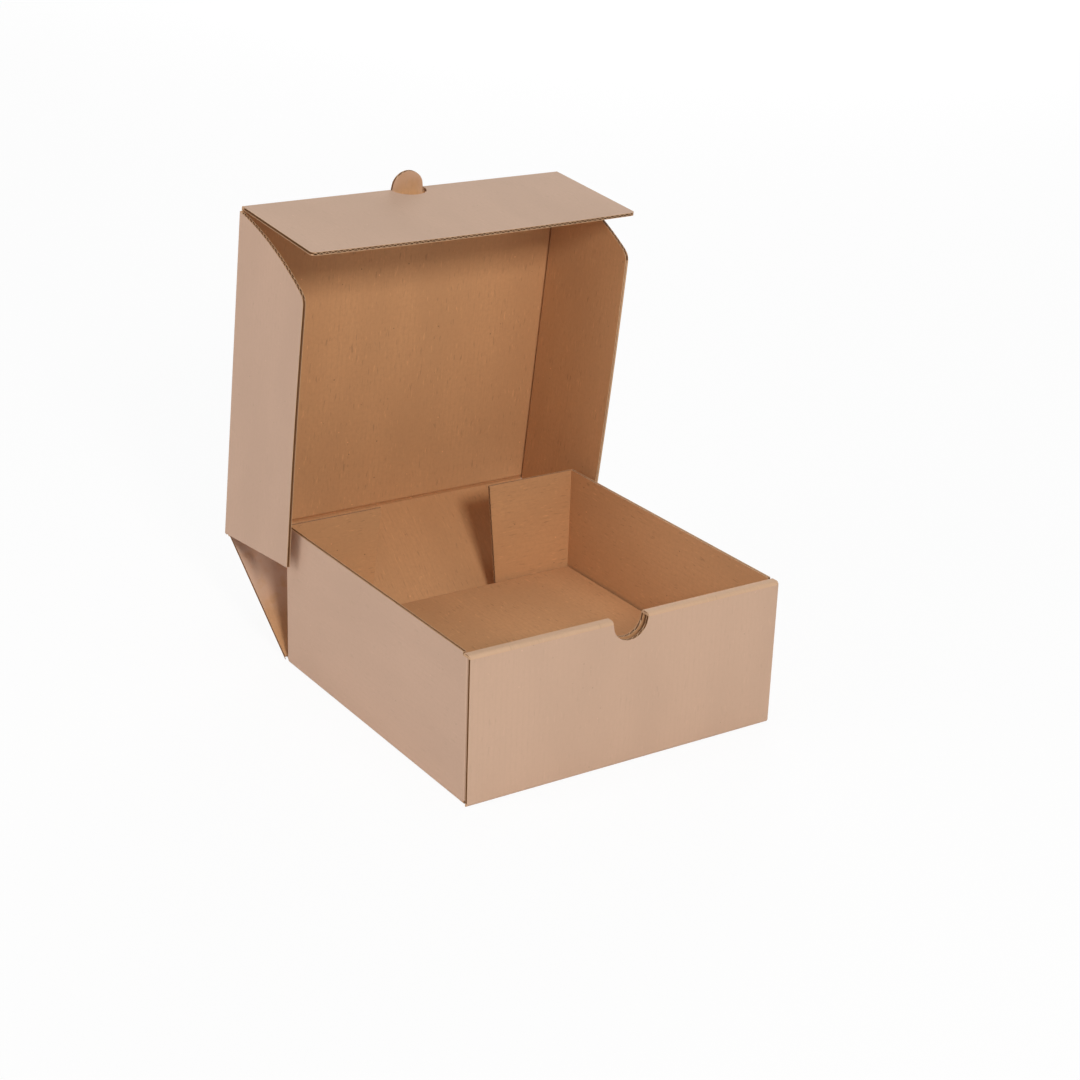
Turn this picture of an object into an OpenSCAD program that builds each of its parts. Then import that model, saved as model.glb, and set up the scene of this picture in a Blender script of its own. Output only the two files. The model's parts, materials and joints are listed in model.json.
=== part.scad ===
// One-piece die-cut box of thin corrugated card: a tray with a rolled front, a hinged back wall,
// a lid with two ears and a front flap, and a raised floor sheet that rests inside the tray.
// Millimetres. The origin is the middle of the tray's underside, the front faces -Y, up is +Z.

/* [Board] */
// Thickness of the corrugated card
board = 1.9; // [1.4:0.1:2.6]
// Gap left along each crease that folds freely
crease_gap = 0.25; // [0.15:0.05:0.4]
// Gap between the layers of the rolled front wall
layer_gap = 0.5; // [0.3:0.1:1.2]

/* [Tray] */
// Outer width of the tray, side to side
tray_w = 196; // [160:1:300]
// Outer depth of the tray, front to back
tray_d = 202; // [150:1:300]
// Outer height of the tray
tray_h = 85; // [60:1:130]
// Length of the side walls' front tabs, trapped inside the rolled front
front_tab_len = 62; // [30:1:75]
// Length of the side walls' rear tabs along their top
rear_tab_len = 59; // [30:1:75]
// How much shorter a rear tab is along its foot
rear_tab_taper = 8; // [0:0.5:15]
// Radius of the thumb notch in the front wall
notch_r = 11.2; // [6:0.2:20]
// Depth of the notch's centre below the rim
notch_drop = 1.6; // [0:0.2:6]
// Width of each tongue that locks the inner front panel into the floor
tongue_w = 34; // [16:1:50]
// Distance of a tongue's middle from the box's middle
tongue_x = 52; // [34:1:54]
// Clearance round a tongue in its slot
slot_clear = 0.3; // [0.2:0.1:0.8]

/* [Raised floor] */
// Height of the raised floor's top face above the table
raised_h = 22.5; // [12:0.5:40]
// Clearance between the raised floor and the walls round it
raised_clear = 1.4; // [0.4:0.1:2]

/* [Lid] */
// Clearance between a side wall and the ear that closes over it
side_clear = 5; // [1:0.1:8]
// Clearance between the front wall and the flap that closes over it
front_clear = 2; // [1:0.1:6]
// Clearance between the walls' top edges and the closed lid
top_clear = 0.4; // [0.2:0.1:2]
// Depth of the front flap
flap_depth = 81; // [40:1:82]
// How far the flap's ends lie in from the lid's sides
flap_inset = 1.5; // [1:0.5:15]
// Radius of the flap's two free corners
flap_corner_r = 2.5; // [1:0.5:15]
// Depth of the ears
ear_depth = 78; // [40:1:80]
// Radius of the ears' curved front edge
ear_arc_r = 200; // [150:5:400]
// How far that edge drops away from the lid's front fold over the ear's depth
ear_arc_drop = 20; // [10:1:40]
// Radius of the ear's corner at the end of the curved edge
ear_corner_r = 7; // [3:0.5:20]
// Length left free of the ear at the lid's front fold
ear_toe = 2; // [2:0.5:10]
// Length left free of the ear at the lid's rear fold, along the crease
ear_heel_in = 0.5; // [0:0.5:30]
// Length left free of the ear at the lid's rear fold, along the ear's free edge
ear_heel_out = 19; // [4:1:40]
// Radius of the half-moon pull tab on the lid's front fold
moon_r = 10; // [6:0.5:15]
// Height of the half-moon's centre above the fold
moon_rise = 1.5; // [0.5:0.5:5]
// Clearance round the half-moon in the flap's cut
moon_clear = 0.6; // [0.4:0.1:1.5]

/* [Pose] */
// Lean of the back wall behind the upright
back_lean = 48; // [0:1:80]
// Forward lean of the lid from the upright
lid_lean = 8; // [0:1:30]
// How far the front flap springs open past a right angle to the lid
flap_spring = 3; // [0:1:30]

/* [Hidden] */
$fn = 96;
outside_colour = "#C3A189";
inside_colour = "#B98556";

half = board / 2;
fold_lap = board / 8;
front_y = -tray_d / 2;
// The rolled front is three layers deep: outer panel, trapped tabs, inner panel
tab_layer_y = front_y + board + layer_gap;
inner_layer_y = tab_layer_y + board + layer_gap;
front_inside_y = inner_layer_y + board;
// The back wall turns about a crease in the middle of the board at the floor's rear edge
back_axis_y = tray_d / 2 - half;
back_axis_z = half;
floor_rear_y = back_axis_y - half - crease_gap;
// The side walls end where the upright back wall just passes behind the rear tabs
rear_tab_y = floor_rear_y - crease_gap;
rear_inside_y = rear_tab_y - board;
side_inside_x = tray_w / 2 - board;
// The back wall is as long as the closed lid's height above the crease
back_len = tray_h + top_clear;
// The closed lid reaches past the front wall, and its ears stand outside the side walls
ear_axis_x = tray_w / 2 + side_clear + half;
lid_len = back_axis_y + half + front_clear - front_y;
lid_panel_w = 2 * (ear_axis_x - half - crease_gap);
lid_panel_end = lid_len - half - crease_gap;
flap_w = 2 * (ear_axis_x + half - flap_inset);
moon_cut_r = moon_r + moon_clear;
// The back wall widens from the tray's width to the lid's
back_top_w = lid_panel_w - 2 * crease_gap;

// Quarter-round outside of a fold that is sharp inside: a column along +Z in the -X -Y quarter,
// which runs on a little into the two panels that it joins
module fold(length) {
    linear_extrude(length) {
        intersection() {
            circle(r = board);
            translate([-board, -board]) square(board);
        }
        translate([-board, 0]) square([board, fold_lap]);
        translate([0, -board]) square([fold_lap, board]);
    }
}

// A plate given by its lowest and highest corners
module plate(low, high) {
    translate(low) cube(high - low);
}

// Floor sheet with the two slots for the front wall's tongues
module floor_sheet() {
    difference() {
        plate([-side_inside_x, front_y + board, 0], [side_inside_x, floor_rear_y, board]);
        for (side = [-1, 1])
            translate([side * tongue_x, inner_layer_y + half, 0])
                cube([tongue_w + 2 * slot_clear, board + 2 * slot_clear, 3 * board], center = true);
    }
}

// Outline of a side wall seen from its side: its top is cut down where the rim rolls over it
module side_outline() {
    rim_under = tray_h - board - layer_gap;
    rim_end = front_inside_y + layer_gap;
    polygon([
        [tab_layer_y + board, board],
        [rear_inside_y, board],
        [rear_inside_y, tray_h],
        [rim_end, tray_h],
        [rim_end, rim_under],
        [tab_layer_y + board, rim_under]
    ]);
}

// Left side wall with its floor fold, its trapped front tab and its rear tab
module left_side() {
    tab_foot = board + layer_gap;
    tab_top = tray_h - board - layer_gap;
    translate([-tray_w / 2, 0, 0])
        rotate([90, 0, 90])
            linear_extrude(board) side_outline();
    // fold along the floor
    translate([-side_inside_x, rear_inside_y, board])
        rotate([90, 0, 0])
            fold(rear_inside_y - tab_layer_y - board);
    // front corner fold and tab
    translate([-side_inside_x, tab_layer_y + board, tab_foot])
        fold(tab_top - tab_foot);
    plate([-side_inside_x, tab_layer_y, tab_foot],
          [-side_inside_x + front_tab_len, tab_layer_y + board, tab_top]);
    // rear corner fold and tab, a little shorter along its foot
    translate([-side_inside_x, rear_inside_y, tab_foot])
        mirror([0, 1, 0]) fold(tray_h - tab_foot);
    translate([-side_inside_x, rear_tab_y, 0])
        rotate([90, 0, 0])
            linear_extrude(board)
                polygon([
                    [0, tab_foot],
                    [rear_tab_len - rear_tab_taper, tab_foot],
                    [rear_tab_len, tray_h],
                    [0, tray_h]
                ]);
}

// Front wall rolled over at the rim: floor fold, outer panel, rim, inner panel and its tongues
module rolled_front() {
    inner_half_w = side_inside_x - layer_gap;
    difference() {
        union() {
            plate([-tray_w / 2, front_y, board],
                  [tray_w / 2, front_y + board, tray_h - board]);
            translate([-side_inside_x, front_y + board, board])
                rotate([90, 0, 90]) fold(2 * side_inside_x);
            plate([-tray_w / 2, front_y + board, tray_h - board],
                  [tray_w / 2, inner_layer_y, tray_h]);
            translate([-tray_w / 2, front_y + board, tray_h - board])
                rotate([90, 0, 90]) mirror([0, 1, 0]) fold(tray_w);
            translate([-tray_w / 2, inner_layer_y, tray_h - board])
                rotate([90, 0, 90]) rotate([0, 0, 180]) fold(tray_w);
            plate([-inner_half_w, inner_layer_y, board + layer_gap],
                  [inner_half_w, front_inside_y, tray_h - board]);
            for (side = [-1, 1])
                plate([side * tongue_x - tongue_w / 2, inner_layer_y, 0],
                      [side * tongue_x + tongue_w / 2, front_inside_y, board + layer_gap]);
        }
        // thumb notch through every layer
        translate([0, front_y - board, tray_h - notch_drop])
            rotate([-90, 0, 0])
                linear_extrude(front_inside_y - front_y + 2 * board) {
                    circle(r = notch_r);
                    translate([-notch_r, -notch_drop - board])
                        square([2 * notch_r, notch_drop + board]);
                }
    }
}

module tray() {
    color(outside_colour) {
        floor_sheet();
        left_side();
        mirror([1, 0, 0]) left_side();
        rolled_front();
    }
}

// Raised floor: one sheet folded down at the front and the back, standing on the tray's floor
module raised_floor() {
    half_w = side_inside_x - raised_clear;
    low_y = front_inside_y + raised_clear;
    high_y = rear_inside_y - raised_clear;
    color(inside_colour) {
        plate([-half_w, low_y + board, raised_h - board], [half_w, high_y - board, raised_h]);
        for (end = [0, 1])
            translate([0, end * (low_y + high_y), 0])
                mirror([0, end, 0]) {
                    plate([-half_w, low_y, board], [half_w, low_y + board, raised_h - board]);
                    translate([-half_w, low_y + board, raised_h - board])
                        rotate([90, 0, 90]) mirror([0, 1, 0]) fold(2 * half_w);
                }
    }
}

// Frames of the creases: children are drawn as if their panel stood upright on its crease
module on_back_crease() {
    translate([0, back_axis_y, back_axis_z])
        rotate([-back_lean, 0, 0]) children();
}

module on_lid_crease() {
    on_back_crease()
        translate([0, 0, back_len])
            rotate([back_lean + lid_lean, 0, 0]) children();
}

// Round bead of the folded board along a crease, from x = -length / 2 to length / 2
module crease_bead(length) {
    rotate([0, 90, 0]) cylinder(r = half, h = length, center = true);
}

// An upright panel of board from a flat outline in x and height
module upright_panel() {
    translate([0, half, 0]) rotate([90, 0, 0]) linear_extrude(board) children();
}

module back_wall() {
    top = back_len - half - crease_gap;
    color(outside_colour)
        on_back_crease() {
            crease_bead(tray_w);
            upright_panel()
                polygon([
                    [-tray_w / 2, 0],
                    [tray_w / 2, 0],
                    [back_top_w / 2, top],
                    [-back_top_w / 2, top]
                ]);
        }
}

// Outline of the half-moon tab, grown by the given clearance, with the fold at height 0
module moon_outline(radius) {
    intersection() {
        translate([0, moon_rise]) circle(r = radius);
        translate([-radius, moon_rise]) square([2 * radius, radius]);
    }
    translate([-radius, -board]) square([2 * radius, board + moon_rise]);
}

module lid() {
    color(inside_colour)
        on_lid_crease() {
            crease_bead(lid_panel_w);
            upright_panel() {
                translate([-lid_panel_w / 2, 0]) square([lid_panel_w, lid_panel_end]);
                translate([0, lid_len]) moon_outline(moon_r);
            }
        }
}

// Flap outline with the fold at height 0 and two round free corners
module flap_outline() {
    side = flap_w / 2;
    shoulder = flap_depth - flap_corner_r;
    translate([-side, 0]) square([flap_w, shoulder]);
    translate([-side + flap_corner_r, 0]) square([flap_w - 2 * flap_corner_r, flap_depth]);
    for (x = [-1, 1])
        translate([x * (side - flap_corner_r), shoulder]) circle(r = flap_corner_r);
}

module front_flap() {
    color(outside_colour)
        on_lid_crease()
            translate([0, 0, lid_len])
                rotate([90 - flap_spring, 0, 0])
                    difference() {
                        union() {
                            crease_bead(flap_w);
                            upright_panel() flap_outline();
                        }
                        translate([0, board, 0])
                            rotate([90, 0, 0])
                                linear_extrude(2 * board) moon_outline(moon_cut_r);
                    }
}

// Points along an arc, ends included
function arc_points(centre, radius, from, to, steps) =
    [for (i = [0:steps]) centre + radius * [cos(from + (to - from) * i / steps),
                                            sin(from + (to - from) * i / steps)]];

// Ear outline: depth across, height along the lid. Its front edge is a shallow arc that runs
// into the free edge through a smaller corner arc, so both arcs share one tangent.
module ear_outline() {
    top = lid_len - ear_toe;
    chord = [ear_depth, -ear_arc_drop];
    length = norm(chord);
    inward = [chord[1], -chord[0]] / length;
    centre = [0, top] + chord / 2 + inward * sqrt(pow(ear_arc_r, 2) - pow(length / 2, 2));
    from = atan2(top - centre[1], -centre[0]);
    corner_x = ear_depth - ear_corner_r;
    corner_run = ear_arc_r - ear_corner_r;
    corner = [corner_x, centre[1] + sqrt(pow(corner_run, 2) - pow(corner_x - centre[0], 2))];
    tangent = atan2(corner[1] - centre[1], corner[0] - centre[0]);
    polygon(concat(
        [[0, ear_heel_in]],
        arc_points(centre, ear_arc_r, from, tangent, 10),
        arc_points(corner, ear_corner_r, tangent, 0, 6),
        [[ear_depth, ear_heel_out]]
    ));
}

// Left ear, folded forwards at a right angle to the lid
module ear_sheet() {
    on_lid_crease()
        translate([-ear_axis_x, 0, 0]) {
            translate([0, 0, ear_heel_in])
                cylinder(r = half, h = lid_len - ear_toe - ear_heel_in);
            rotate([0, 0, -90]) upright_panel() ear_outline();
        }
}

module left_ear() {
    color(outside_colour) ear_sheet();
}

module right_ear() {
    color(outside_colour) mirror([1, 0, 0]) ear_sheet();
}

tray();
raised_floor();
back_wall();
lid();
front_flap();
left_ear();
right_ear();
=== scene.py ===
# %% [markdown]
# # A folded box of corrugated card
#
# This lesson dresses a small shipping box in Blender. The box is one die-cut sheet, folded: a tray with
# a rolled-over front, a back wall, a lid with two curved ears and a front flap, and a loose raised floor.
# Plain solids of it come in as a fixed frame. They say where each panel is and how it turns. What they
# lack is the card itself, so every panel is rebuilt here as two paper liners with a wavy core between.

import json
import math

import bmesh
import bpy
from mathutils import Matrix, Vector


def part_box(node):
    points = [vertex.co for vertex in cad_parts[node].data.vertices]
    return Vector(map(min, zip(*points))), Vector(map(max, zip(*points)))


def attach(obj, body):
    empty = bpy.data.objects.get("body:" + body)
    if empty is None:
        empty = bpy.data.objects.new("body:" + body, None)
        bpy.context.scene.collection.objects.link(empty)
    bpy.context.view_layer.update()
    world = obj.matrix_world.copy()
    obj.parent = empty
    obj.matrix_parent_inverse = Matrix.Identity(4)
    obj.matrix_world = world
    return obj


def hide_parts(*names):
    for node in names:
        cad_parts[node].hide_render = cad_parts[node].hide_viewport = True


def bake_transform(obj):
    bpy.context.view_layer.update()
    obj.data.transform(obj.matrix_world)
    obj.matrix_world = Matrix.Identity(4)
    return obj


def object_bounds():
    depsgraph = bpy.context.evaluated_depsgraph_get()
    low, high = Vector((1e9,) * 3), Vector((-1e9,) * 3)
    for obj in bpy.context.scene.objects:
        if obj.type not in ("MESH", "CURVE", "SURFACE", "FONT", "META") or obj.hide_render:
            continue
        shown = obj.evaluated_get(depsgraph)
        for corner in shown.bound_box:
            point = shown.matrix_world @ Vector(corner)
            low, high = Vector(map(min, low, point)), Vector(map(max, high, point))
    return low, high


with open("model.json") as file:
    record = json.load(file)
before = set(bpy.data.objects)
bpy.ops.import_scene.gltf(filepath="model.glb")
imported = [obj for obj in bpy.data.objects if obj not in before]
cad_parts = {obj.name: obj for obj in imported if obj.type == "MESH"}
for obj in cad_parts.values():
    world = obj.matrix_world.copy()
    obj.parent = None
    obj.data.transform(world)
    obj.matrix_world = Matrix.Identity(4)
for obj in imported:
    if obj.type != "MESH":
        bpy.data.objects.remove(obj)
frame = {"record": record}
cad_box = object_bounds()
MM = 0.001

# %% [markdown]
# ## Sizes
#
# Everything that the frame can tell is read from it: the tray's box, the board's thickness (an ear stands
# exactly side-on, so its box is as thick as the card) and the creases, which are the joints. Small cuts
# inside a panel can't be read from a box, so they are written down here, in millimetres.

# %% Sizes from the frame
joints = {joint["name"]: joint for joint in frame["record"]["behaviour"]["joints"]}
tray_low, tray_high = (Vector(corner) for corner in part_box("tray"))
raised_low, raised_high = (Vector(corner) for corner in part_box("raised_floor"))
ear_low, ear_high = (Vector(corner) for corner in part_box("left_ear"))
flap_high = Vector(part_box("front_flap")[1])

board = ear_high.x - ear_low.x
half = board / 2
tray_half_w = tray_high.x
tray_h = tray_high.z
front_y = tray_low.y
side_inside = tray_half_w - board

back_crease = Vector(joints["back_wall_fold"]["pos_m"])
lid_crease = Vector(joints["lid_fold"]["pos_m"])
flap_crease = Vector(joints["front_flap_fold"]["pos_m"])
ear_crease = Vector(joints["right_ear_fold"]["pos_m"])
back_len = (lid_crease - back_crease).length
lid_len = (flap_crease - lid_crease).length
ear_x = ear_crease.x

RIGHT = Vector((1, 0, 0))
BACK = Vector((0, 1, 0))
UP = Vector((0, 0, 1))
back_up = (lid_crease - back_crease).normalized()
lid_up = (flap_crease - lid_crease).normalized()
back_outward = RIGHT.cross(back_up) * -1
lid_outward = RIGHT.cross(lid_up) * -1
lid_inward = lid_outward * -1
print(f"board {board / MM:.2f} mm, lid {lid_len / MM:.1f} mm long")

# %% Sizes of the cuts
layer_gap = 0.5 * MM
crease_gap = 0.25 * MM
crease_reach = 1.7 * MM
front_tab_len = 62 * MM
rear_tab_len = 59 * MM
rear_tab_taper = 8 * MM
notch_r = 11.2 * MM
notch_drop = 1.6 * MM
tongue_w = 34 * MM
tongue_x = 52 * MM
slot_clear = 0.3 * MM
flap_corner_r = 2.5 * MM
flap_depth = 81 * MM
flap_spring = math.radians(3)
ear_depth = 78 * MM
ear_arc_r = 200 * MM
ear_arc_drop = 20 * MM
ear_corner_r = 7 * MM
ear_toe = 2 * MM
ear_heel_in = {"left": 0.5 * MM, "right": -1.6 * MM}
ear_heel_out = 19 * MM
moon_r = 10 * MM
moon_rise = 1.5 * MM
moon_cut_r = 10.6 * MM
flap_half_w = flap_high.x

tab_layer_y = front_y + board + layer_gap
inner_layer_y = tab_layer_y + board + layer_gap
front_inside_y = inner_layer_y + board
rear_tab_y = tray_high.y - crease_gap
rear_inside_y = rear_tab_y - board
print(f"front layers start at y {front_y / MM:.1f}, {tab_layer_y / MM:.1f} and {inner_layer_y / MM:.1f} mm")

# %% [markdown]
# ## Card finishes
#
# Kraft card is brown paper. Close up it shows a cloudy formation, fibres that lie in streaks, faint lines
# over each flute, and a few dark and pale specks. All of these are procedural. They read a UV map that
# holds each panel's place on the flat blank, in metres, so that streaks follow the flutes on every panel,
# whichever way it is folded. The two liners are different papers: pinkish tan outside, warm brown inside.
# Where a piece is painted paler as a highlight, it keeps how strongly in an attribute of its own.

# %% Node helpers
def new_material(name):
    material = bpy.data.materials.new(name)
    material.use_nodes = True
    nodes = material.node_tree.nodes
    nodes.clear()
    output = nodes.new("ShaderNodeOutputMaterial")
    shader = nodes.new("ShaderNodeBsdfPrincipled")
    material.node_tree.links.new(shader.outputs["BSDF"], output.inputs["Surface"])
    return material, shader


def add_node(material, kind, settings=None, **inputs):
    node = material.node_tree.nodes.new(kind)
    for key, value in (settings or {}).items():
        setattr(node, key, value)
    for key, value in inputs.items():
        socket = node.inputs[int(key[1:])] if key[0] == "i" and key[1:].isdigit() else node.inputs[key]
        if isinstance(value, bpy.types.NodeSocket):
            material.node_tree.links.new(value, socket)
        else:
            socket.default_value = value
    return node


def math_node(material, operation, first, second=0.0):
    node = add_node(material, "ShaderNodeMath", {"operation": operation}, i0=first, i1=second)
    return node.outputs[0]


def band(material, value, low, high):
    """0 below low, 1 above high, smooth between."""
    node = add_node(material, "ShaderNodeMapRange", {"interpolation_type": "SMOOTHSTEP"}, Value=value)
    node.inputs["From Min"].default_value = low
    node.inputs["From Max"].default_value = high
    return node.outputs["Result"]


def tint(material, factor, below, above):
    mix = add_node(material, "ShaderNodeMix", {"data_type": "RGBA", "blend_type": "MIX"}, i0=factor)
    for index, colour in ((6, below), (7, above)):
        if isinstance(colour, bpy.types.NodeSocket):
            material.node_tree.links.new(colour, mix.inputs[index])
        else:
            mix.inputs[index].default_value = (*colour, 1)
    return mix.outputs[2]


def srgb(red, green, blue):
    """A colour read off a screen, 0 to 255, as the linear values that shaders use."""
    parts = (value / 255 for value in (red, green, blue))
    return tuple(p / 12.92 if p <= 0.04045 else ((p + 0.055) / 1.055) ** 2.4 for p in parts)


def shade(colour, factor):
    return tuple(value * factor for value in colour)


print(f"middle grey, 128 on a screen, is {srgb(128, 128, 128)[0]:.3f} to a shader")


# %% Kraft paper
flute_pitch = 3.4 * MM
# The pale, pinkish colour of painted highlights.
painted_highlight_colour = srgb(214, 182, 160)


def kraft(name, colour, clouds, streak, flute_lines, speck):
    """Brown paper on a fluted board. The last four set how strongly each kind of mark shows."""
    material, shader = new_material(name)
    place = add_node(material, "ShaderNodeUVMap", {"uv_map": "blank"}).outputs["UV"]
    in_mm = add_node(material, "ShaderNodeVectorMath", {"operation": "SCALE"}, i0=place, Scale=1000.0)
    across_along = add_node(material, "ShaderNodeSeparateXYZ", i0=in_mm.outputs[0])

    def noise(scale, detail, stretch=(1, 1, 1)):
        turned = add_node(material, "ShaderNodeMapping", i0=in_mm.outputs[0], Scale=stretch)
        texture = add_node(material, "ShaderNodeTexNoise", Vector=turned.outputs[0], Scale=scale,
                           Detail=detail)
        return texture.outputs["Fac"]

    # Scales are per millimetre. Fibres and dashes are drawn out along the flutes.
    cloud = noise(0.03, 2.0, (1, 0.3, 1))
    patches = noise(0.06, 2.0)
    formation = noise(0.5, 4.0)
    fibre = noise(1.0, 2.0, (1.1, 0.12, 1))
    dashes = noise(1.0, 1.0, (0.8, 0.13, 1))
    grain = noise(2.6, 2.0)

    def stain(below, mask, strength, factor):
        return tint(material, math_node(material, "MULTIPLY", mask, strength), below, shade(colour, factor))

    result = tint(material, band(material, cloud, 0.3, 0.7), shade(colour, 1 - clouds),
                  shade(colour, 1 + clouds))
    thick = band(material, patches, 0.35, 0.62)
    result = stain(result, band(material, formation, 0.35, 0.75), 0.6 * streak, 0.88)
    result = stain(result, band(material, fibre, 0.5, 0.8), 0.7 * streak, 0.84)
    dark_dash = math_node(material, "MULTIPLY", band(material, dashes, 0.64, 0.72), thick)
    pale_dash = math_node(material, "MULTIPLY", band(material, dashes, 0.36, 0.28), thick)
    result = stain(result, dark_dash, streak, 0.7)
    result = stain(result, pale_dash, streak, 1.2)

    turn = math_node(material, "MULTIPLY", across_along.outputs["X"], 2 * math.pi * MM / flute_pitch)
    wave = math_node(material, "SINE", turn)
    crest = math_node(material, "MULTIPLY", band(material, wave, 0.2, 1.0), band(material, cloud, 0.35, 0.65))
    result = stain(result, crest, flute_lines, 0.8)

    cells = add_node(material, "ShaderNodeTexVoronoi", {"feature": "F1"}, Vector=in_mm.outputs[0], Scale=0.16)
    hue = add_node(material, "ShaderNodeSeparateColor", i0=cells.outputs["Color"])
    dot = band(material, cells.outputs["Distance"], 0.085, 0.045)
    dark_dot = math_node(material, "MULTIPLY", dot, math_node(material, "LESS_THAN", hue.outputs[0], 0.22))
    pale_dot = math_node(material, "MULTIPLY", dot, math_node(material, "GREATER_THAN", hue.outputs[0], 0.8))
    result = tint(material, math_node(material, "MULTIPLY", dark_dot, speck), result, shade(colour, 0.4))
    result = tint(material, math_node(material, "MULTIPLY", pale_dot, speck), result, shade(colour, 1.5))
    # Painted highlight: the paper is painted paler, in blotches, as strongly as the piece's attribute asks.
    painted_highlight = add_node(material, "ShaderNodeAttribute", {"attribute_name": "painted_highlight"}).outputs["Fac"]
    blotch = math_node(material, "MULTIPLY", band(material, noise(0.12, 3.0), 0.3, 0.55), 0.5)
    painted_highlight = math_node(material, "MULTIPLY", painted_highlight, math_node(material, "ADD", blotch, 0.5))
    result = tint(material, painted_highlight, result, painted_highlight_colour)
    material.node_tree.links.new(result, shader.inputs["Base Color"])

    # Relief: soft lumps, fine grain, fibres and a trace of the flutes.
    height = math_node(material, "MULTIPLY", formation, 0.5)
    height = math_node(material, "ADD", height, math_node(material, "MULTIPLY", grain, 0.35))
    height = math_node(material, "ADD", height, math_node(material, "MULTIPLY", fibre, 0.8))
    height = math_node(material, "ADD", height, math_node(material, "MULTIPLY", wave, 0.5 * flute_lines))
    bump = add_node(material, "ShaderNodeBump", Strength=0.35, Distance=0.12 * MM, Height=height)
    material.node_tree.links.new(bump.outputs["Normal"], shader.inputs["Normal"])
    rough = math_node(material, "ADD", math_node(material, "MULTIPLY", formation, 0.2), 0.72)
    material.node_tree.links.new(rough, shader.inputs["Roughness"])
    shader.inputs["Specular IOR Level"].default_value = 0.22
    return material


print("kraft paper has lines every", flute_pitch / MM, "mm")

# %% The five finishes
outer_liner = kraft("outer_liner", srgb(203, 171, 148), 0.028, 0.2, 0.06, 0.3)
inner_liner = kraft("inner_liner", srgb(205, 157, 113), 0.045, 0.7, 0.13, 0.8)
# The fluting is darker paper, darkened further as painted shade for the hollows of the flutes.
fluting_and_shade = kraft("fluting_and_shade", srgb(132, 92, 60), 0.03, 0.3, 0.0, 0.0)
cut_edge = kraft("cut_edge", srgb(204, 166, 130), 0.03, 0.3, 0.0, 0.0)
# A paler copy of the outer liner: a painted highlight along the top of the rolled front.
painted_rim_highlight = kraft("painted_rim_highlight", srgb(207, 172, 142), 0.03, 0.3, 0.0, 0.3)
FINISHES = (outer_liner, inner_liner, fluting_and_shade, cut_edge, painted_rim_highlight)
OUTSIDE, INSIDE, CORE_AND_SHADE, EDGE, RIM_HIGHLIGHT = range(5)
print("finishes:", [finish.name for finish in FINISHES])

# %% [markdown]
# ## The wavy core
#
# Between the liners runs a corrugated sheet. It follows a rule, a sine wave of fixed pitch, so a small
# Geometry Nodes tree makes it: it lifts the points of a flat grid by the sine of their place across the
# flutes. Pitch and height are inputs of the tree. A Solidify modifier then gives the paper its thickness.

# %% Flute tree
def build_flute_tree():
    tree = bpy.data.node_groups.new("flute_core", "GeometryNodeTree")
    face = tree.interface
    face.new_socket("Geometry", in_out="INPUT", socket_type="NodeSocketGeometry")
    face.new_socket("Pitch", in_out="INPUT", socket_type="NodeSocketFloat")
    face.new_socket("Height", in_out="INPUT", socket_type="NodeSocketFloat")
    face.new_socket("Geometry", in_out="OUTPUT", socket_type="NodeSocketGeometry")
    nodes, links = tree.nodes, tree.links
    entry, leave = nodes.new("NodeGroupInput"), nodes.new("NodeGroupOutput")
    place, split = nodes.new("GeometryNodeInputPosition"), nodes.new("ShaderNodeSeparateXYZ")
    links.new(place.outputs[0], split.inputs[0])

    def step(operation, first, second=None):
        node = nodes.new("ShaderNodeMath")
        node.operation = operation
        links.new(first, node.inputs[0])
        if isinstance(second, bpy.types.NodeSocket):
            links.new(second, node.inputs[1])
        elif second is not None:
            node.inputs[1].default_value = second
        return node.outputs[0]

    turns = step("DIVIDE", split.outputs["X"], entry.outputs["Pitch"])
    lift = step("SINE", step("MULTIPLY", turns, 2 * math.pi))
    lift = step("MULTIPLY", lift, entry.outputs["Height"])
    join, move = nodes.new("ShaderNodeCombineXYZ"), nodes.new("GeometryNodeSetPosition")
    links.new(lift, join.inputs["Z"])
    links.new(entry.outputs["Geometry"], move.inputs["Geometry"])
    links.new(join.outputs[0], move.inputs["Offset"])
    solid, paint = nodes.new("GeometryNodeRealizeInstances"), nodes.new("GeometryNodeSetMaterial")
    # The core takes the fluting finish, dark partly as painted shade.
    paint.inputs["Material"].default_value = fluting_and_shade
    links.new(move.outputs["Geometry"], solid.inputs["Geometry"])
    links.new(solid.outputs["Geometry"], paint.inputs["Geometry"])
    links.new(paint.outputs["Geometry"], leave.inputs["Geometry"])
    return tree


flute_tree = build_flute_tree()
print("flute tree nodes:", len(flute_tree.nodes))

# %% Layers of the board
tree_inputs = {item.name: item.identifier for item in flute_tree.interface.items_tree
               if item.in_out == "INPUT"}
liner = 0.28 * MM
core_paper = 0.34 * MM
core_height = half - liner - core_paper / 2
flush = 0.06 * MM
crushed = 0.3 * MM
print(f"liners {liner / MM} mm, core paper {core_paper / MM} mm, wave {core_height / MM:.2f} mm high")

# %% [markdown]
# ## Panels
#
# A panel is described on the flat: bands across the flutes, each with a lower and an upper end along
# them. A number makes a straight end and a function makes a curved one. Grids of faces fill the bands,
# once for each liner and once, finer, for the core. A free edge that runs along the flutes is closed by a
# strip of core paper, flush or crushed in a little, or it stays open where the die cut along a hollow flute.
# Only then is the flat panel set in its place by three directions, across, along and outward, with a slight
# bow, because no card lies perfectly flat.

# %% Flat grids
liner_grid = (6 * MM, 12 * MM)
core_grid = (flute_pitch / 8, 30 * MM)
curve_parts = 28
length_samples = 8
rounding = 1e-9


def end_at(end, across):
    return end(across) if callable(end) else end


def stops(first, last, step):
    count = max(1, math.ceil((last - first) / step - rounding))
    return [first + (last - first) * i / count for i in range(count + 1)]


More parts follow.
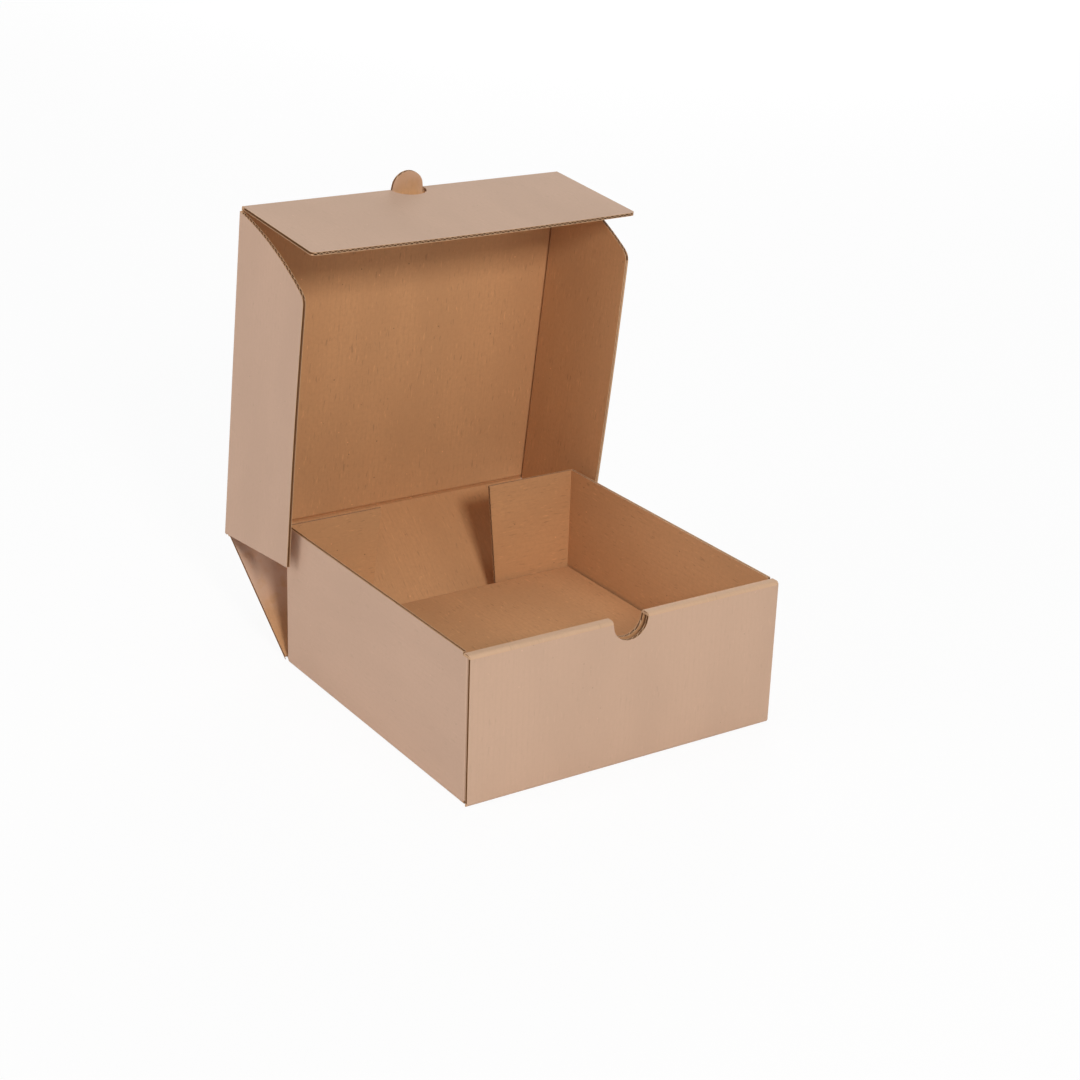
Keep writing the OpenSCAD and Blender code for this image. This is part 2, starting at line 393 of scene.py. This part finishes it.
def fill_bands(mesh, bands, across_step, along_step, height):
    """Quads over every band of a flat panel, at one height. Returns the new faces."""
    faces = []
    for first, last, low, high in bands:
        columns = []
        samples = stops(first, last, (last - first) / length_samples)
        longest = max(end_at(high, u) - end_at(low, u) for u in samples)
        rows = max(1, math.ceil(longest / along_step))
        curved = callable(low) or callable(high)
        widest = min(across_step, (last - first) / curve_parts) if curved else across_step
        for u in stops(first, last, widest):
            below, above = end_at(low, u), end_at(high, u)
            columns.append([mesh.verts.new((u, below + (above - below) * r / rows, height))
                            for r in range(rows + 1)])
        for left, right in zip(columns, columns[1:]):
            for r in range(rows):
                faces.append(mesh.faces.new((left[r], right[r], right[r + 1], left[r + 1])))
    return faces


print("a 100 mm side gets", len(stops(0, 100 * MM, liner_grid[0])), "points in a liner")


# %% Core and edge stops
strip_step = 12 * MM
shortest_stop = 2 * MM
same_place = 1e-6


def core_mesh(bands):
    """The panel's wavy core, still on the flat."""
    flat = bmesh.new()
    fill_bands(flat, bands, *core_grid, 0)
    mesh = bpy.data.meshes.new("core")
    flat.to_mesh(mesh)
    flat.free()
    sheet = bpy.data.objects.new("core", mesh)
    bpy.context.scene.collection.objects.link(sheet)
    wave = sheet.modifiers.new("flutes", "NODES")
    wave.node_group = flute_tree
    wave[tree_inputs["Pitch"]] = flute_pitch
    wave[tree_inputs["Height"]] = core_height
    paper = sheet.modifiers.new("paper", "SOLIDIFY")
    paper.thickness = core_paper
    paper.offset = 0
    made = bpy.data.meshes.new_from_object(sheet.evaluated_get(bpy.context.evaluated_depsgraph_get()))
    bpy.data.objects.remove(sheet)
    bpy.data.meshes.remove(mesh)
    return made


def edge_stops(mesh, bands, recess):
    """Core paper bent shut just inside each free edge that runs along the flutes."""
    borders = [edge for edges in bands for edge in edges[:2]]
    inside = half - liner
    for first, last, low, high in bands:
        for border, inward in ((first, 1), (last, -1)):
            near = border + inward * recess
            below, above = end_at(low, near), end_at(high, near)
            shared = sum(abs(border - other) < same_place for other in borders) > 1
            if shared or above - below < shortest_stop:
                continue
            far = near + inward * core_paper
            rings = [[mesh.verts.new((u, v, w)) for u, w in ((near, -inside), (far, -inside),
                                                             (far, inside), (near, inside))]
                     for v in stops(below, above, strip_step)]
            faces = [mesh.faces.new(rings[0]), mesh.faces.new(rings[-1])]
            for one, two in zip(rings, rings[1:]):
                faces += [mesh.faces.new((one[i], one[i - 1], two[i - 1], two[i])) for i in range(4)]
            for face in faces:
                face.material_index = EDGE


print(f"edges shorter than {shortest_stop / MM:.0f} mm get no stop")


# %% New pieces
panel_count = 0
blank_step = Vector((0.37, 0.23))


def next_blank_place():
    """An unused spot on the paper, so that no two pieces show the same marks."""
    global panel_count
    panel_count += 1
    return blank_step * panel_count


def new_piece(name, mesh):
    data = bpy.data.meshes.new(name)
    mesh.to_mesh(data)
    mesh.free()
    for finish in FINISHES:
        data.materials.append(finish)
    piece = bpy.data.objects.new(name, data)
    bpy.context.scene.collection.objects.link(piece)
    return piece


def repaint(piece, before, after):
    """Gives every face of one finish another one."""
    for face in piece.data.polygons:
        if face.material_index == before:
            face.material_index = after
    return piece


print("each piece gets", len(FINISHES), "finishes")


# %% Card panel
def flat_bow(u, v):
    return 0.0


def card_panel(name, bands, origin, across, along, outward, bow=flat_bow, recess=flush):
    """Two liners and a core, set in place. With no recess, edges along the flutes stay open."""
    mesh = bmesh.new()
    for side, finish in ((1, OUTSIDE), (-1, INSIDE)):
        faces = fill_bands(mesh, bands, *liner_grid, side * half)
        for face in faces:
            face.material_index = finish
        grown = bmesh.ops.extrude_face_region(mesh, geom=faces, use_keep_orig=True)["geom"]
        moved = [item for item in grown if isinstance(item, bmesh.types.BMVert)]
        # The liners' cut sides take the core's finish, dark partly as painted shade.
        for item in grown:
            if isinstance(item, bmesh.types.BMFace):
                item.material_index = CORE_AND_SHADE
        bmesh.ops.translate(mesh, verts=moved, vec=(0, 0, -side * liner))
        for face in mesh.faces:
            if abs(face.calc_center_median().z - side * (half - liner / 2)) < liner / 4:
                face.material_index = EDGE
    core = core_mesh(bands)
    before = len(mesh.faces)
    mesh.from_mesh(core)
    bpy.data.meshes.remove(core)
    mesh.faces.ensure_lookup_table()
    # Core faces across the flutes take the cut-edge finish; the rest take the core's finish, dark partly as
    # painted shade.
    for face in mesh.faces[before:]:
        face.normal_update()
        face.material_index = EDGE if abs(face.normal.y) > 0.5 else CORE_AND_SHADE
    if recess:
        edge_stops(mesh, bands, recess)

    blank = mesh.loops.layers.uv.new("blank")
    shift = next_blank_place()
    for face in mesh.faces:
        for corner in face.loops:
            corner[blank].uv = Vector(corner.vert.co.xy) + shift
    for vert in mesh.verts:
        u, v, w = vert.co
        vert.co = origin + across * u + along * v + outward * (w + bow(u, v))
    bmesh.ops.recalc_face_normals(mesh, faces=mesh.faces)
    return new_piece(name, mesh)


print(f"a panel is {board / MM:.2f} mm thick")

# %% [markdown]
# ## Folds and creases
#
# Where a panel stays folded, the board's outside makes a quarter round about a sharp inside corner. Where
# a panel turns freely, a narrow strip of crushed board crosses the crease: round outside, a pinched groove
# inside. The strip is built in place at the crease and rides on neither panel's body.

# %% Folds and creases
crease_pinch = 0.1 * half


def swept_strip(name, section, finishes, spans, origin, run):
    """A closed section, a list of offsets, swept along run over each span of distances."""
    mesh = bmesh.new()
    blank = mesh.loops.layers.uv.new("blank")
    shift = next_blank_place()
    for first, last in spans:
        rings = [[mesh.verts.new(origin + run * s + offset) for offset in section]
                 for s in stops(first, last, strip_step)]
        for near, far in zip(rings, rings[1:]):
            for i, finish in enumerate(finishes):
                j = (i + 1) % len(section)
                face = mesh.faces.new((near[i], near[j], far[j], far[i]))
                face.material_index = finish
        for ring in (rings[0], rings[-1]):
            mesh.faces.new(ring).material_index = EDGE
    for face in mesh.faces:
        for corner in face.loops:
            place = corner.vert.co - origin
            turn = place - run * place.dot(run)
            corner[blank].uv = Vector((place.dot(run), turn.length)) + shift
    bmesh.ops.recalc_face_normals(mesh, faces=mesh.faces)
    return new_piece(name, mesh)


def arc_between(first, last, radius, steps=6):
    return [first.slerp(last, i / steps) * radius for i in range(steps + 1)]


def fixed_fold(name, origin, run, spans, outward_a, outward_b):
    """Quarter round of the board's outside about a sharp inside corner at origin."""
    section = [Vector()] + arc_between(outward_a, outward_b, board)
    finishes = [EDGE] + [OUTSIDE] * (len(section) - 2) + [EDGE]
    return swept_strip(name, section, finishes, spans, origin, run)


def free_crease(name, origin, run, spans, into_a, outward_a, into_b, outward_b):
    """Crushed board across a crease that turns, built in place at the crease."""
    end_a, end_b = into_a * crease_reach, into_b * crease_reach
    groove = (outward_a + outward_b).normalized() * crease_pinch
    section = [end_a + outward_a * half] + arc_between(outward_a, outward_b, half)
    section += [end_b + outward_b * half, end_b - outward_b * half, groove, end_a - outward_a * half]
    finishes = [OUTSIDE] * (len(section) - 4) + [EDGE, INSIDE, INSIDE, EDGE]
    strip = swept_strip(name, section, finishes, spans, origin, run)
    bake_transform(strip)
    return strip


print(f"crease strips reach {crease_reach / MM} mm into each panel")

# %% [markdown]
# ## The tray
#
# The floor and the side walls are plain panels. The flutes run from front to back over the whole blank,
# so they stand upright in the front wall and lie flat along the side walls and their tabs. The front rolls
# over: outer panel, rim and inner panel, with a thumb notch cut through all of them.

# %% Tray floor
def ride_tray(piece):
    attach(piece, "tray_body")
    return piece


slot_low = inner_layer_y - slot_clear
slot_high = front_inside_y + slot_clear
floor_front = front_y + board
floor_rear = back_crease.y - crease_reach
slot_half = tongue_w / 2 + slot_clear
floor_bands = [(-side_inside, -tongue_x - slot_half, floor_front, floor_rear),
               (-tongue_x + slot_half, tongue_x - slot_half, floor_front, floor_rear),
               (tongue_x + slot_half, side_inside, floor_front, floor_rear)]
for middle in (-tongue_x, tongue_x):
    floor_bands += [(middle - slot_half, middle + slot_half, floor_front, slot_low),
                    (middle - slot_half, middle + slot_half, slot_high, floor_rear)]
tray_floor = card_panel("tray_floor", floor_bands, UP * half, RIGHT, BACK, UP * -1)
ride_tray(tray_floor)
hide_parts("tray")
print("tray floor in", len(floor_bands), "bands, round its two slots")

# %% Side walls
rim_play = 0.05 * MM
rim_under = tray_h - board - rim_play
rim_end = front_inside_y + layer_gap
wall_bands = [(board, rim_under, tab_layer_y + board, rear_inside_y),
              (rim_under, tray_h, rim_end, rear_inside_y)]
tab_foot = board + layer_gap
tab_bands = [(tab_foot, rim_under, 0, front_tab_len)]


def rear_tab_end(z):
    return rear_tab_len - rear_tab_taper * (tray_h - z) / (tray_h - tab_foot)


rear_bands = [(tab_foot, tray_h, 0, rear_tab_end)]
wall_recess = {"left": crushed, "right": flush}
for side, hand in ((-1, "left"), (1, "right")):
    out = RIGHT * side
    inward = out * -1
    corner = out * side_inside
    ride_tray(card_panel(f"{hand}_wall", wall_bands, out * (side_inside + half), UP, BACK, out,
                         recess=wall_recess[hand]))
    ride_tray(card_panel(f"{hand}_front_tab", tab_bands, corner + BACK * (tab_layer_y + half),
                         UP, inward, BACK * -1))
    ride_tray(card_panel(f"{hand}_rear_tab", rear_bands, corner + BACK * (rear_tab_y - half),
                         UP, inward, BACK))
    ride_tray(fixed_fold(f"{hand}_floor_fold", corner + UP * board, BACK,
                         [(tab_layer_y + board, rear_inside_y)], UP * -1, out))
    ride_tray(fixed_fold(f"{hand}_front_fold", corner + BACK * (tab_layer_y + board), UP,
                         [(tab_foot, rim_under)], out, BACK * -1))
    ride_tray(fixed_fold(f"{hand}_rear_fold", corner + BACK * rear_inside_y, UP,
                         [(tab_foot, tray_h)], out, BACK))
print("side walls and tabs made")


# %% Rolled front
def notch_bottom(u):
    """The notch's edge, no higher than the fold under the rim."""
    depth = math.sqrt(max(0.0, notch_r ** 2 - u ** 2))
    return min(tray_h - board, tray_h - notch_drop - depth)


front_top = tray_h - board
outer_bands = [(-tray_half_w, -notch_r, board, front_top), (-notch_r, notch_r, board, notch_bottom),
               (notch_r, tray_half_w, board, front_top)]
inner_half = side_inside - layer_gap
tongue_sides = (tongue_x - tongue_w / 2, tongue_x + tongue_w / 2)
inner_bands = [(-notch_r, notch_r, tab_foot, notch_bottom)]
for side in (-1, 1):
    for near, far, foot in ((notch_r, tongue_sides[0], tab_foot), (*tongue_sides, 0.0),
                            (tongue_sides[1], inner_half, tab_foot)):
        inner_bands.append((min(side * near, side * far), max(side * near, side * far), foot, front_top))
rim_bands = [(-tray_half_w, -notch_r, floor_front, inner_layer_y),
             (notch_r, tray_half_w, floor_front, inner_layer_y)]
rim_spans = [(-tray_half_w, -notch_r), (notch_r, tray_half_w)]
ride_tray(card_panel("front_outer", outer_bands, BACK * (front_y + half), RIGHT, UP, BACK * -1, recess=None))
ride_tray(card_panel("front_inner", inner_bands, BACK * (inner_layer_y + half), RIGHT, UP, BACK))
# The rim takes the paler finish, a painted highlight along the top of the front.
rim = card_panel("front_rim", rim_bands, UP * (tray_h - half), RIGHT, BACK, UP)
ride_tray(repaint(rim, OUTSIDE, RIM_HIGHLIGHT))
ride_tray(fixed_fold("front_floor_fold", Vector((0, floor_front, board)), RIGHT,
                     [(-tray_half_w, tray_half_w)], UP * -1, BACK * -1))
# Both folds of the rim are painted with the same highlight.
for name, y, sides in (("front", floor_front, (BACK * -1, UP)), ("inner", inner_layer_y, (UP, BACK))):
    fold = fixed_fold(f"rim_{name}_fold", Vector((0, y, front_top)), RIGHT, rim_spans, *sides)
    ride_tray(repaint(fold, OUTSIDE, RIM_HIGHLIGHT))
print("front rolled over")

# %% [markdown]
# ## The raised floor
#
# A loose sheet stands in the tray on two legs folded down at its front and back. Its warm inner liner
# faces up. A panel's outward side is its outer liner, so here outward points down and into the legs.

# %% Raised floor
raised_top = raised_high.z
raised_half = raised_high.x
leg_top = raised_top - board
raised_front = raised_low.y + board
raised_rear = raised_high.y - board
raised_sheet = card_panel("raised_sheet", [(-raised_half, raised_half, raised_front, raised_rear)],
                          UP * (raised_top - half), RIGHT, BACK, UP * -1)
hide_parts("raised_floor")
ride_tray(raised_sheet)
leg_bands = [(-raised_half, raised_half, raised_low.z, leg_top)]
for name, edge, out in (("front", raised_front, BACK * -1), ("rear", raised_rear, BACK)):
    leg = card_panel(f"raised_{name}_leg", leg_bands, BACK * edge + out * half, RIGHT, UP, out * -1)
    ride_tray(leg)
    fold = fixed_fold(f"raised_{name}_fold", Vector((0, edge, leg_top)), RIGHT,
                      [(-raised_half, raised_half)], out, UP)
    ride_tray(fold)
    repaint(fold, OUTSIDE, INSIDE)
print("raised floor made")

# %% [markdown]
# ## Back wall, lid, flap and ears
#
# These panels turn, so each rides on its own body. The lid carries the half-moon tab, which was cut out
# of the flap: the tab stays in the lid's plane and the flap keeps a half-moon hole. The ears end in a wide
# arc that runs into the straight edge through a small one, as the die cut them.

# %% Bows and painted highlights
def stand_for(piece, node):
    """Hides a solid that has a body of its own and lets the piece ride there in its place."""
    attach(piece, node)
    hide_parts(node)


def crescent(u, radius, centre):
    return centre + math.sqrt(max(0.0, radius ** 2 - u ** 2))


def gentle(height, half_width, length):
    """A bow that is highest in the middle and nothing at the creases."""
    def bow(u, v):
        across = max(0.0, 1 - (u / half_width) ** 2)
        along = math.sin(math.pi * min(1.0, max(0.0, v / length)))
        return height * across * along
    return bow


def ease(value, low, high):
    share = min(1.0, max(0.0, (value - low) / (high - low)))
    return share * share * (3 - 2 * share)


def paint_highlight(piece, origin, along, amount):
    """Keeps with each inside vertex how strongly it is painted paler as a highlight, from its place across
    and along the panel.
    """
    painted_highlight = piece.data.attributes.new("painted_highlight", "FLOAT", "POINT")
    inside_faces = [face for face in piece.data.polygons if face.material_index == INSIDE]
    for index in {index for face in inside_faces for index in face.vertices}:
        place = piece.data.vertices[index].co
        painted_highlight.data[index].value = amount(place.x, (place - origin).dot(along))


back_bow = -0.5 * MM
lid_bow = 0.8 * MM
lid_half = ear_x - crease_reach
lid_end = lid_len - crease_reach
print(f"lid bows out by {lid_bow / MM} mm, back wall in by {-back_bow / MM} mm")

# %% Back wall
# How far the painted highlight on the back wall reaches: across from the middle, and as a share of the wall's
# height.
highlight_across = (58 * MM, 78 * MM)
highlight_along = (0.15, 0.7)


def flare_edge(u):
    """The back wall's slanted side edge: the wall widens from the tray's width to the lid's."""
    return back_len * (abs(u) - tray_half_w) / (lid_half - tray_half_w)


back_end = back_len - crease_reach
flare_half = tray_half_w + (lid_half - tray_half_w) * back_end / back_len
back_bands = [(-flare_half, -tray_half_w, flare_edge, back_end),
              (-tray_half_w, tray_half_w, crease_reach, back_end),
              (tray_half_w, flare_half, flare_edge, back_end)]
back_sheet = card_panel("back_sheet", back_bands, back_crease, RIGHT, back_up, back_outward,
                        gentle(back_bow, tray_half_w, back_len))
# Painted highlight: the left flare of the back wall is painted paler towards its outer side and towards its
# top.
paint_highlight(back_sheet, back_crease, back_up,
         lambda u, v: ease(-u, *highlight_across) * ease(v / back_len, *highlight_along))
stand_for(back_sheet, "back_wall")
print(f"back wall {back_len / MM:.1f} mm high")

# %% Lid
# The half-moon tab is painted paler as a highlight, fading in from 1 mm below the lid's edge to 2 mm above
# it.
moon_highlight = 0.7
moon_highlight_rise = (-1 * MM, 2 * MM)
lid_bands = [(-lid_half, -moon_r, crease_reach, lid_end),
             (-moon_r, moon_r, crease_reach, lambda u: lid_len + crescent(u, moon_r, moon_rise)),
             (moon_r, lid_half, crease_reach, lid_end)]
lid_sheet = card_panel("lid_sheet", lid_bands, lid_crease, RIGHT, lid_up, lid_outward,
                       gentle(lid_bow, lid_half, lid_len))
# Painted highlight on the half-moon tab.
paint_highlight(lid_sheet, lid_crease, lid_up, lambda u, v: moon_highlight * ease(v - lid_len, *moon_highlight_rise))
stand_for(lid_sheet, "lid")
print(f"lid {2 * lid_half / MM:.1f} mm wide")


# %% Front flap
flap_sag = 0.9 * MM


def flap_end(u):
    into_corner = abs(u) - (flap_half_w - flap_corner_r)
    if into_corner <= 0:
        return flap_depth
    return flap_depth - flap_corner_r + math.sqrt(max(0.0, flap_corner_r ** 2 - into_corner ** 2))


def flap_bow(u, v):
    return -flap_sag * (v / flap_depth) ** 2 * (1 - (u / flap_half_w) ** 2)


flap_out = lid_inward * math.cos(flap_spring) + lid_up * math.sin(flap_spring)
flap_outward = lid_up * math.cos(flap_spring) + lid_outward * math.sin(flap_spring)
flap_knee = flap_half_w - flap_corner_r
flap_bands = [(-flap_half_w, -flap_knee, crease_reach, flap_end),
              (-flap_knee, -moon_cut_r, crease_reach, flap_depth),
              (-moon_cut_r, moon_cut_r, lambda u: crescent(u, moon_cut_r, moon_rise), flap_depth),
              (moon_cut_r, flap_knee, crease_reach, flap_depth),
              (flap_knee, flap_half_w, crease_reach, flap_end)]
flap_sheet = card_panel("flap_sheet", flap_bands, flap_crease, RIGHT, flap_out, flap_outward, flap_bow,
                        recess=None)
stand_for(flap_sheet, "front_flap")
print(f"flap {flap_depth / MM:.0f} mm deep")

# %% Outline of an ear
ear_bulge = 1.0 * MM
ear_top = lid_len - ear_toe
chord = Vector((ear_depth, -ear_arc_drop))
chord_normal = Vector((-ear_arc_drop, -ear_depth)) / chord.length
arc_centre = Vector((0, ear_top)) + chord / 2
arc_centre += chord_normal * math.sqrt(ear_arc_r ** 2 - (chord.length / 2) ** 2)
corner_u = ear_depth - ear_corner_r
corner_run = ear_arc_r - ear_corner_r
corner_v = arc_centre.y + math.sqrt(corner_run ** 2 - (corner_u - arc_centre.x) ** 2)
tangent_u = arc_centre.x + (corner_u - arc_centre.x) * ear_arc_r / corner_run


def ear_high_end(u):
    if u <= tangent_u:
        return arc_centre.y + math.sqrt(ear_arc_r ** 2 - (u - arc_centre.x) ** 2)
    return corner_v + math.sqrt(max(0.0, ear_corner_r ** 2 - (u - corner_u) ** 2))


def ear_low_end(hand):
    """The heel's slope. The right heel starts a little lower, which shuts the corner behind the tab."""
    start = ear_heel_in[hand]
    return lambda u: start + (ear_heel_out - start) * u / ear_depth


def ear_bow(u, v):
    return ear_bulge * (u / ear_depth) ** 2 * math.sin(math.pi * min(1.0, max(0.0, v / lid_len)))


print(f"ear arc runs into its corner {tangent_u / MM:.1f} mm from the crease")

# %% Ears
knee_width = 2 * MM
knee = ear_depth - knee_width
ear_recess = {"left": None, "right": flush}
for side, hand in ((-1, "left"), (1, "right")):
    out = RIGHT * side
    foot = lid_crease + out * ear_x
    low_end = ear_low_end(hand)
    ear_bands = [(crease_reach, knee, low_end, ear_high_end), (knee, ear_depth, low_end, ear_high_end)]
    ear = card_panel(f"{hand}_ear_sheet", ear_bands, foot, lid_inward, lid_up, out, ear_bow,
                     ear_recess[hand])
    stand_for(ear, f"{hand}_ear")
    free_crease(f"{hand}_ear_crease", foot, lid_up, [(ear_heel_in[hand], ear_top)],
                out * -1, lid_outward, lid_inward, out)
print("ears made")

# %% Creases that turn
crease_play = 0.1 * MM
lid_crease_half = ear_x - half - crease_play
free_crease("back_crease", back_crease, RIGHT, [(-side_inside, side_inside)],
            BACK * -1, UP * -1, back_up, back_outward)
free_crease("lid_crease", lid_crease, RIGHT, [(-lid_crease_half, lid_crease_half)],
            back_up * -1, back_outward, lid_up, lid_outward)
free_crease("flap_crease", flap_crease, RIGHT,
            [(-flap_half_w, -moon_cut_r), (moon_cut_r, flap_half_w)],
            lid_up * -1, lid_outward, flap_out, flap_outward)

# %% [markdown]
# ## Floor, light and camera
#
# A pale floor, a faint sky and four softboxes keep the light plain, so that a colour looks about as it is
# written. The key stands in front, to the right of the camera, the fill on the left and a third one above.
# The last is low, behind and to the right, and lights the sides that the camera does not see. The lamps
# themselves are hidden from the camera.
# The camera was fitted to the tray's corners in the photograph: its place, the way it looks and its lens
# follow from that.

# %% What the camera sees
def shows_to_camera(nodes, links):
    """1 for what the camera sees straight, in a reflection or through glass, 0 for light on its way."""
    path = nodes.new("ShaderNodeLightPath")
    total = path.outputs["Is Camera Ray"]
    for name in ("Is Glossy Ray", "Is Transmission Ray"):
        larger = nodes.new("ShaderNodeMath")
        larger.operation = "MAXIMUM"
        links.new(total, larger.inputs[0])
        links.new(path.outputs[name], larger.inputs[1])
        total = larger.outputs[0]
    return total


print("floor and sky look white to the camera alone")

# %% Floor
floor_grey = 0.92
floor_rough = 0.9
floor_seen_white = 0.92
floor_size = 12.0
floor_material, floor_shader = new_material("pale_floor")
floor_shader.inputs["Base Color"].default_value = (floor_grey, floor_grey, floor_grey, 1)
floor_shader.inputs["Roughness"].default_value = floor_rough
floor_nodes, floor_links = floor_material.node_tree.nodes, floor_material.node_tree.links
paper_white = floor_nodes.new("ShaderNodeEmission")
white_share = floor_nodes.new("ShaderNodeMath")
white_share.operation = "MULTIPLY"
white_share.inputs[1].default_value = floor_seen_white
floor_links.new(shows_to_camera(floor_nodes, floor_links), white_share.inputs[0])
floor_mix = floor_nodes.new("ShaderNodeMixShader")
floor_links.new(white_share.outputs[0], floor_mix.inputs[0])
floor_links.new(floor_shader.outputs["BSDF"], floor_mix.inputs[1])
floor_links.new(paper_white.outputs[0], floor_mix.inputs[2])
floor_links.new(floor_mix.outputs[0], floor_nodes["Material Output"].inputs["Surface"])
floor_mesh = bmesh.new()
bmesh.ops.create_grid(floor_mesh, x_segments=1, y_segments=1, size=floor_size / 2)
floor_data = bpy.data.meshes.new("floor")
floor_mesh.to_mesh(floor_data)
floor_mesh.free()
floor_data.materials.append(floor_material)
floor_object = bpy.data.objects.new("floor", floor_data)
bpy.context.scene.collection.objects.link(floor_object)
print("floor", floor_size, "m wide")

# %% Sky
scene = bpy.context.scene
world = bpy.data.worlds.new("studio")
scene.world = world
world.use_nodes = True
sky_nodes, sky_links = world.node_tree.nodes, world.node_tree.links
sky = sky_nodes["Background"]
sky.inputs["Color"].default_value = (1, 1, 1, 1)
sky_light = 0.2
seen = sky_nodes.new("ShaderNodeMapRange")
seen.inputs["To Min"].default_value = sky_light
seen.inputs["To Max"].default_value = 1.0
sky_links.new(shows_to_camera(sky_nodes, sky_links), seen.inputs["Value"])
sky_links.new(seen.outputs["Result"], sky.inputs["Strength"])
print("sky lights at", sky_light)

# %% Softboxes
middle = (Vector(cad_box[0]) + Vector(cad_box[1])) / 2


def softbox(name, place, size, power, colour):
    data = bpy.data.lights.new(name, "AREA")
    data.shape = "SQUARE"
    data.size = size
    data.energy = power
    data.color = colour
    lamp = bpy.data.objects.new(name, data)
    lamp.location = place
    lamp.visible_camera = False
    lamp.rotation_euler = (middle - Vector(place)).to_track_quat("-Z", "Y").to_euler()
    scene.collection.objects.link(lamp)


softbox("key_softbox", (-0.571, -2.102, 1.304), 0.4, 29.5, (1, 0.94, 0.875))
softbox("fill_softbox", (-2.45, 0.3, 1.05), 1.6, 20, (1, 0.95, 0.97))
softbox("top_softbox", (0, -0.2, 2.4), 1.6, 15, (0.86, 0.94, 1))
softbox("back_softbox", (2.268, 2.763, 0.856), 1.65, 61, (1, 1, 1))
print("softboxes:", len(bpy.data.lights))

# %% Camera
photo_pixels = 1080
sensor_mm = 36
focal_pixels = 2163.6
look_azimuth = math.radians(-34.107)
look_elevation = math.radians(22.066)
look_roll = math.radians(2.095)
camera_place = Vector((-0.6151, -0.92199, 0.54183))

level = math.cos(look_elevation)
away = Vector((math.sin(look_azimuth) * level, -math.cos(look_azimuth) * level, math.sin(look_elevation)))
flat_right = Vector((math.cos(look_azimuth), math.sin(look_azimuth), 0))
flat_up = away.cross(flat_right)
tilted_right = flat_right * math.cos(look_roll) + flat_up * math.sin(look_roll)
tilted_up = away.cross(tilted_right)
turn = Matrix((tilted_right, tilted_up, away)).transposed().to_4x4()

camera_data = bpy.data.cameras.new("camera")
camera_data.sensor_width = sensor_mm
camera_data.lens = camera_data.sensor_width * focal_pixels / photo_pixels
camera = bpy.data.objects.new("camera", camera_data)
camera.matrix_world = Matrix.Translation(camera_place) @ turn
scene.collection.objects.link(camera)
scene.camera = camera
scene.view_settings.view_transform = "Standard"
print(f"lens {camera_data.lens:.1f} mm")
